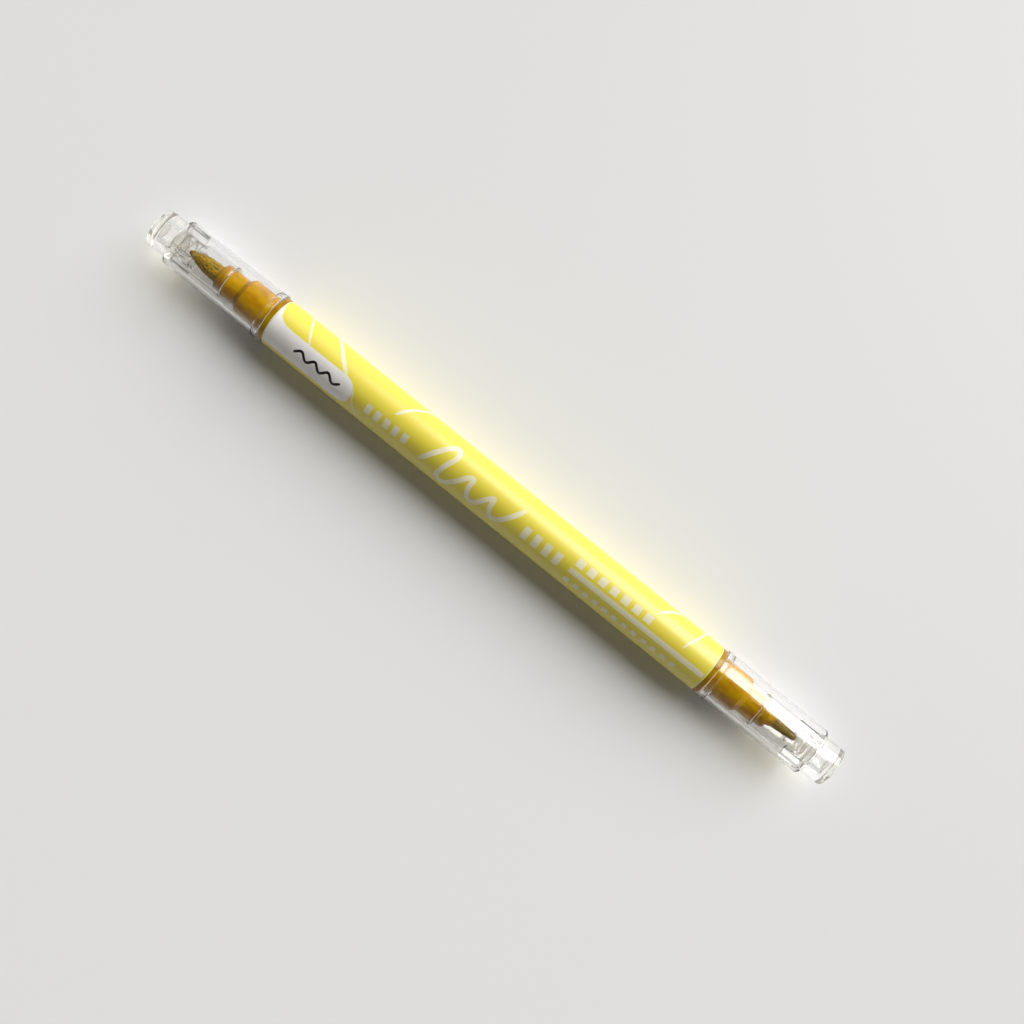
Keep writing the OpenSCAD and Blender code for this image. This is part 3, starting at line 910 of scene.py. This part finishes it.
def fibres_group():
    """Geometry Nodes: fibres laid side by side round a tapering nib, each with a length of its own."""
    t = new_group("Nib Fibres", "Fibre", {"Fibres": 190, "Seed": 7}, {
        "Start": 0, "Length": 0.0067, "Root Radius": 0.00168, "Tip Radius": 0.00012, "Bow": 1.35,
        "Shortest": 0.5, "Longest": 1, "Fibre Radius": 0.00006, "Axis Height": AXIS_H,
    })
    given = node(t, "NodeGroupInput").outputs
    one = node(t, "GeometryNodeCurvePrimitiveLine")
    cut = node(t, "GeometryNodeResampleCurve", {"Curve": one, "Count": 11})
    copies = {"Geometry": cut, "Amount": given["Fibres"]}
    many = node(t, "GeometryNodeDuplicateElements", copies, domain="SPLINE")
    number = many.outputs["Duplicate Index"]
    # Each fibre's own length and jitter.
    spread = {"Seed": given["Seed"], "ID": number}
    spread |= {"Min": given["Shortest"], "Max": given["Longest"]}
    reach = node(t, "FunctionNodeRandomValue", spread, data_type="FLOAT")
    other = node(t, "ShaderNodeMath", {0: given["Seed"], 1: 31}, operation="ADD")
    jitter = node(t, "FunctionNodeRandomValue", {"Seed": other, "ID": number}, data_type="FLOAT")
    along = node(t, "GeometryNodeSplineParameter")
    k = node(t, "ShaderNodeMath", {0: along.outputs["Factor"], 1: reach.outputs[1]}, operation="MULTIPLY")
    # Radius of the nib's surface at that share of its length.
    bowed = node(t, "ShaderNodeMath", {0: k, 1: given["Bow"]}, operation="POWER")
    left = node(t, "ShaderNodeMath", {0: 1, 1: bowed}, operation="SUBTRACT")
    span = node(t, "ShaderNodeMath", {0: given["Root Radius"], 1: given["Tip Radius"]}, operation="SUBTRACT")
    surface = node(t, "ShaderNodeMath", {0: span, 1: left, 2: given["Tip Radius"]}, operation="MULTIPLY_ADD")
    # A fibre's middle lies one fibre radius, and a little more at random, under the surface.
    depth = node(t, "ShaderNodeMapRange", {"Value": jitter.outputs[1], "To Min": 1, "To Max": 1.7})
    sunk = node(t, "ShaderNodeMath", {0: depth, 1: given["Fibre Radius"]}, operation="MULTIPLY")
    under = node(t, "ShaderNodeMath", {0: surface, 1: sunk}, operation="SUBTRACT")
    radius = node(t, "ShaderNodeMath", {0: under, 1: 0.00002}, operation="MAXIMUM")
    # Fibres stand evenly round the nib, each a little off its place.
    place_off = node(t, "ShaderNodeMapRange", {"Value": jitter.outputs[1], "To Min": -0.35, "To Max": 0.35})
    slot = node(t, "ShaderNodeMath", {0: number, 1: place_off}, operation="ADD")
    turn = node(t, "ShaderNodeMath", {0: slot, 1: given["Fibres"]}, operation="DIVIDE")
    angle = node(t, "ShaderNodeMath", {0: turn, 1: TURN}, operation="MULTIPLY")
    sine = node(t, "ShaderNodeMath", {0: angle}, operation="SINE")
    cosine = node(t, "ShaderNodeMath", {0: angle}, operation="COSINE")
    x = node(t, "ShaderNodeMath", {0: k, 1: given["Length"], 2: given["Start"]}, operation="MULTIPLY_ADD")
    y = node(t, "ShaderNodeMath", {0: sine, 1: radius}, operation="MULTIPLY")
    z = node(t, "ShaderNodeMath", {0: cosine, 1: radius, 2: given["Axis Height"]}, operation="MULTIPLY_ADD")
    moved = node(t, "ShaderNodeCombineXYZ", {"X": x, "Y": y, "Z": z})
    laid = node(t, "GeometryNodeSetPosition", {"Geometry": many, "Position": moved})
    # A fibre thins towards its end.
    ends = {"Value": along.outputs["Factor"], "From Min": 0.7, "To Min": 1, "To Max": 0.35}
    thin = node(t, "ShaderNodeMapRange", ends)
    thick = node(t, "GeometryNodeSetCurveRadius", {"Curve": laid, "Radius": thin})
    ring = node(t, "GeometryNodeCurvePrimitiveCircle", {"Radius": given["Fibre Radius"], "Resolution": 4})
    tube = node(t, "GeometryNodeCurveToMesh", {"Curve": thick, "Profile Curve": ring, "Fill Caps": True})
    if "Scale" in tube.inputs:
        feed(t, tube, {"Scale": thin})
    real = node(t, "GeometryNodeRealizeInstances", {"Geometry": tube})
    done = node(t, "GeometryNodeSetMaterial", {"Geometry": real, "Material": given["Fibre"]})
    node(t, "NodeGroupOutput", {"Geometry": done})
    return t


def shaft(r):
    """A nib's outline inside the pen: from the middle of its tail out to the front of its section."""
    return [(0, TAIL_END, 0), (r - 0.2, TAIL_END, 0.05), (r, TAIL_END + 0.4, 0.2)]


class PEN_OT_brush_nib(bpy.types.Operator):
    """Brush nib: a tapered core with fibres laid along it"""

    bl_idname = "pen.brush_nib"
    bl_label = "Brush nib"

    def execute(self, context):
        s, sec = context.scene.pen_nibs, context.scene.pen_sections
        fibre = wet_fibre("brush_nib_acrylic_fibre_wet", tuple(s.fibre_light), tuple(s.fibre_dark), 0.24)
        r, tip = s.brush_r / MM, s.brush_tip_r / MM
        base = (sec.flange_t + sec.body_l + sec.cone_l) / MM + BRUSH_NOSE_L
        # The core stays a little inside the fibres.
        core_l, root_r, end_r = s.brush_l / MM, r * 0.985, tip * 0.85
        core = soften(shaft(r))
        for k in np.linspace(0, 1, 28):
            core.append((end_r + (root_r - end_r) * (1 - k**s.bow), base + core_l * k * 0.985))
        core.append((0, base + core_l * 0.985))
        rows = turned(core, BRUSH * BARREL_END, BRUSH)
        add_piece("brush_nib_core", skin("brush_core", rows), fibre, "pen", "brush_nib")
        mesh = grown("brush_nib_fibres", fibres_group(), {
            "Fibres": s.brush_fibres, "Start": -(BARREL_END + base * MM), "Length": -s.brush_l,
            "Root Radius": s.brush_r, "Tip Radius": s.brush_tip_r, "Bow": s.bow, "Shortest": 0.35,
            "Longest": 1.0, "Fibre Radius": s.fibre_w / 2, "Axis Height": AXIS_H, "Seed": s.seed,
            "Fibre": fibre,
        })
        add_piece("brush_nib_fibres", finish_mesh(mesh, 60, 1e-9), fibre, "pen", None)
        return {"FINISHED"}


class PEN_OT_fine_nib(bpy.types.Operator):
    """Fine nib: a round-ended rod of bonded fibres"""

    bl_idname = "pen.fine_nib"
    bl_label = "Fine nib"

    def execute(self, context):
        s, sec = context.scene.pen_nibs, context.scene.pen_sections
        rod = wet_fibre("fine_nib_polyester_fibre_wet", tuple(s.rod_light), tuple(s.rod_dark), 0.26)
        r, tip = s.fine_r / MM, s.fine_tip_r / MM
        base = (sec.flange_t + sec.body_l + sec.cone_l) / MM + FINE_TIP_L
        end = base + s.fine_l / MM
        outline = soften(shaft(r) + [(r, base, 0.1)])
        for k in (0.02, 0.3, 0.6, 0.9):
            outline.append((r - (r - tip) * 0.93 * k - 0.03, base + (s.fine_l / MM - tip) * k))
        for a in np.radians(np.arange(15, 90, 9.0)):
            outline.append((tip * math.cos(a), end - tip + tip * math.sin(a)))
        outline.append((0, end))
        rows = turned(outline, FINE * BARREL_END, FINE)
        add_piece("fine_nib_rod", skin("fine_rod", rows), rod, "pen", "fine_nib")
        mesh = grown("fine_nib_fibres", bpy.data.node_groups["Nib Fibres"], {
            "Fibres": s.fine_fibres, "Start": BARREL_END + base * MM, "Length": s.fine_l,
            "Root Radius": s.fine_r, "Tip Radius": s.fine_tip_r * 0.96, "Bow": 1.0, "Shortest": 0.78,
            "Longest": 0.9, "Fibre Radius": s.fibre_w * 0.36, "Axis Height": AXIS_H, "Seed": s.seed + 1,
            "Fibre": rod,
        })
        add_piece("fine_nib_fibres", finish_mesh(mesh, 60, 1e-9), rod, "pen", None)
        return {"FINISHED"}


# ---------------------------------------------------------------- caps


def ribbed_loop(s, ribbed, angles_per=40):
    """Radius and angle of each point round the cap's bore.

    The loop with ribs and the plain one have the same points, so that one skin joins them.
    """
    bore, reach, half = s.bore_r / MM, s.rib_r / MM, s.rib_w / MM / 2
    root = math.asin(half / bore)
    out_r, out_a = [], []
    rib = soften([
        (bore - 0.25, half + 0.12, 0), (bore - 0.12, half, 0.1), (reach, half, 0.12),
        (reach, -half, 0.12), (bore - 0.12, -half, 0.1), (bore - 0.25, -half - 0.12, 0),
    ], arc_steps=3, support=0.05)[1:-1]
    count = len(rib)
    for i in range(s.ribs):
        middle = s.rib_turn + i * TURN / s.ribs
        for j, (x, y) in enumerate(rib):
            if ribbed:
                out_r.append(min(math.hypot(x, y), bore))
                out_a.append(middle + math.atan2(-y, x))
            else:
                out_r.append(bore)
                out_a.append(middle + root * (-1 + 2 * j / (count - 1)))
        gap = TURN / s.ribs - 2 * root
        for j in range(1, angles_per):
            out_r.append(bore)
            out_a.append(middle + root + gap * j / angles_per)
    return np.array(out_r), np.array(out_a)


def cap_rows(s, way):
    """Rows of an outer cap: along its outside to the mouth, and back inside over the ribs to the blind hole."""
    crown_r, crown_l = s.crown_r / MM, s.crown_l / MM
    bore, cap_l = s.bore_r / MM, CAP_L / MM
    shoulder, mouth, bead = s.shoulder_r / MM, s.mouth_r / MM, BEAD_R / MM
    floor, rib_end = crown_l + CAP_STEP_L, crown_l + CAP_STEP_L + CAP_RIB_L
    neck = cap_l - BEAD_L - 0.3
    outside = soften([
        (0, DISH_L, 0), (DISH_R, DISH_L, 0.08), (DISH_R, 0.0, 0.12), (crown_r, 0.0, 0.55),
        (crown_r, crown_l, 0.12), (shoulder, crown_l, 0.3), (mouth, neck, 0.04),
        (mouth - 0.1, neck + 0.1, 0.05), (mouth - 0.1, neck + 0.3, 0.05), (bead, neck + 0.4, 0.1),
        (bead, cap_l - 0.02, 0.2), (bore + 0.02, cap_l - 0.02, 0.14), (bore, rib_end + 0.3, 0),
    ], arc_steps=6)
    plain_a = ribbed_loop(s, False)[1]
    ribbed_r, ribbed_a = ribbed_loop(s, True)
    start = way * TOTAL_END
    inward = -way
    # Angles are drawn as seen along the piece, so the two ends mirror each other.
    turn = (lambda a: math.pi / 2 - a) if way < 0 else (lambda a: math.pi / 2 + a)
    rows = turned(outside, start, inward, turn(plain_a))
    rows.append(place(bore, turn(plain_a), rib_end + 0.02, start, inward))
    shrink = bore - (bore - ribbed_r) * 0.985
    rows.append(place(shrink, turn(ribbed_a), rib_end, start, inward))
    rows += [place(ribbed_r, turn(ribbed_a), z, start, inward) for z in (rib_end - 0.06, floor + 0.06, floor)]
    hole = [(2.2, floor, 0), (BLIND_R, floor, 0.1), (BLIND_R, BLIND_L, 0.25), (0, BLIND_L, 0)]
    return rows + turned(soften(hole, arc_steps=5), start, inward, turn(plain_a))


def inner_cap_outline():
    """Outline of the inner cap: a closed head, a cone and a tube to its rim, and back inside to the pocket."""
    cone_end = INNER_NECK + 0.56
    rim_r = INNER_TUBE_R + 0.15
    return soften([
        (0, INNER_HEAD, 0), (INNER_HEAD_R, INNER_HEAD, 0.15), (INNER_HEAD_R, INNER_NECK, 0.9),
        (INNER_TUBE_R, cone_end, 0.9), (INNER_TUBE_R, INNER_RIM - 0.62, 0.1), (rim_r, INNER_RIM - 0.5, 0.15),
        (rim_r, INNER_RIM, 0.24), (INNER_BORE_R, INNER_RIM, 0.24), (INNER_BORE_R, cone_end, 0.9),
        (INNER_POCKET_R, INNER_NECK, 0.9), (INNER_POCKET_R, INNER_POCKET, 0.06),
        (INNER_HOLE_R, INNER_POCKET, 0.1), (INNER_HOLE_R, INNER_HOLE, 0.25), (0, INNER_HOLE, 0),
    ], arc_steps=5)


class PEN_OT_caps(bpy.types.Operator):
    """Clear outer cap over each end, with the ribs inside it"""

    bl_idname = "pen.caps"
    bl_label = "Outer caps"

    def execute(self, context):
        s = context.scene.pen_caps
        clear = clear_polystyrene("cap_polystyrene_clear", tuple(s.tint), 0.012, 0.15)
        for name, way in (("brush_cap", BRUSH), ("fine_cap", FINE)):
            mesh = skin(name, cap_rows(s, way))
            add_piece(name + "_outer", mesh, clear, name, name + "_shell")
        return {"FINISHED"}


class PEN_OT_inner_caps(bpy.types.Operator):
    """Clear inner cap that seals on each nose"""

    bl_idname = "pen.inner_caps"
    bl_label = "Inner caps"

    def execute(self, context):
        s = context.scene.pen_caps
        clear = clear_polystyrene("inner_cap_polypropylene_clear", tuple(s.inner_tint), 0.02, 0.12)
        for name, way in (("brush_cap", BRUSH), ("fine_cap", FINE)):
            mesh = skin(name + "_inner", turned(inner_cap_outline(), way * TOTAL_END, -way))
            add_piece(name + "_inner", mesh, clear, name, name + "_liner")
        return {"FINISHED"}


# ---------------------------------------------------------------- stage


def soft_light(name, strength, breadth, towards, tint=(1, 1, 1)):
    """A broad soft light, even over the whole floor, that shines from a direction."""
    data = bpy.data.lights.new(name, "SUN")
    data.energy, data.angle, data.color = strength, breadth, tint
    light = bpy.data.objects.new(name, data)
    light.location = Vector(towards).normalized() * 0.6
    light.rotation_mode = "QUATERNION"
    light.rotation_quaternion = (-Vector(towards)).to_track_quat("-Z", "Y")
    bpy.context.scene.collection.objects.link(light)
    return light


class PEN_OT_stage(bpy.types.Operator):
    """Plain pale floor, soft light and the camera above the pen"""

    bl_idname = "pen.stage"
    bl_label = "Floor, light and camera"

    def execute(self, context):
        s = context.scene.pen_stage
        mesh = bpy.data.meshes.new("floor")
        mesh.from_pydata([(-1.5, -1.5, 0), (1.5, -1.5, 0), (1.5, 1.5, 0), (-1.5, 1.5, 0)], [], [(0, 1, 2, 3)])
        material, tree, shader = new_material("floor_paper_plain")
        feed(tree, shader, {"Base Color": (*s.floor_colour, 1), "Roughness": 0.55})
        mesh.materials.append(material)
        floor = bpy.data.objects.new("floor", mesh)
        context.scene.collection.objects.link(floor)

        soft_light("key_light", s.key_strength, s.key_angle, KEY_TOWARDS, (1.0, 0.99, 0.97))

        world = bpy.data.worlds.new("surroundings")
        world.use_nodes = True
        tree = world.node_tree
        # A room that is dim overhead keeps the clear plastic from milking over. It is lightest near the
        # horizon and on the light's side.
        sky = tree.nodes["Background"]
        where = node(tree, "ShaderNodeTexCoord").outputs["Generated"]
        parts = node(tree, "ShaderNodeSeparateXYZ", {"Vector": where})
        warm = linear("#FFFAF2")
        shades = ((0.0, 0.85), (0.22, 0.62), (0.5, 0.28), (0.85, 0.07), (1.0, 0.03))
        stops = [(z, mixed((0, 0, 0), warm, shade)) for z, shade in shades]
        sides = {"Value": parts.outputs["Y"], "From Min": -1, "To Min": 0.45 * s.sky, "To Max": 1.2 * s.sky}
        strength = node(tree, "ShaderNodeMapRange", sides)
        feed(tree, sky, {"Color": ramp(tree, parts.outputs["Z"], stops), "Strength": strength})
        context.scene.world = world

        data = bpy.data.cameras.new("camera")
        data.lens, data.sensor_width = s.lens, 36
        data.clip_start, data.clip_end = 0.005, 20
        camera = bpy.data.objects.new("camera", data)
        camera.rotation_mode = "QUATERNION"
        camera.rotation_quaternion = Matrix(CAMERA_TURN).to_quaternion()
        camera.location = Vector(CAMERA_PLACE) * MM
        context.scene.collection.objects.link(camera)
        context.scene.camera = camera
        context.scene.view_settings.view_transform = "Standard"
        return {"FINISHED"}


# ---------------------------------------------------------------- add-on


class PEN_PT_panel(bpy.types.Panel):
    """Lists the pieces of the pen and what each can be set to"""

    bl_label = "Brush Pen"
    bl_idname = "PEN_PT_panel"
    bl_space_type = "VIEW_3D"
    bl_region_type = "UI"
    bl_category = "Brush Pen"

    def draw(self, context):
        for name, settings, operators in GROUPS:
            box = self.layout.box()
            box.label(text=name)
            group = getattr(context.scene, settings)
            for key in group.__annotations__:
                box.prop(group, key)
            for operator in operators:
                box.operator(operator.bl_idname)


GROUPS = (
    ("Barrel", "pen_barrel", (PEN_OT_barrel,)),
    ("Sections", "pen_sections", (PEN_OT_sections,)),
    ("Nibs", "pen_nibs", (PEN_OT_brush_nib, PEN_OT_fine_nib, PEN_OT_reservoir)),
    ("Caps", "pen_caps", (PEN_OT_caps, PEN_OT_inner_caps)),
    ("Stage", "pen_stage", (PEN_OT_stage,)),
)
SETTINGS = {
    "pen_barrel": BarrelSettings,
    "pen_sections": SectionSettings,
    "pen_nibs": NibSettings,
    "pen_caps": CapSettings,
    "pen_stage": StageSettings,
}
OPERATORS = tuple(operator for _, _, operators in GROUPS for operator in operators)
CLASSES = (*SETTINGS.values(), *OPERATORS, PEN_PT_panel)


def register():
    for each in CLASSES:
        bpy.utils.register_class(each)
    for name, group in SETTINGS.items():
        setattr(bpy.types.Scene, name, PointerProperty(type=group))


def unregister():
    for name in SETTINGS:
        delattr(bpy.types.Scene, name)
    for each in reversed(CLASSES):
        bpy.utils.unregister_class(each)


def main():
    register()
    bpy.ops.pen.stage()
    bpy.ops.pen.barrel()
    bpy.ops.pen.reservoir()
    bpy.ops.pen.sections()
    bpy.ops.pen.brush_nib()
    bpy.ops.pen.fine_nib()
    bpy.ops.pen.caps()
    bpy.ops.pen.inner_caps()
    bpy.context.view_layer.update()


if __name__ == "__main__":
    main()
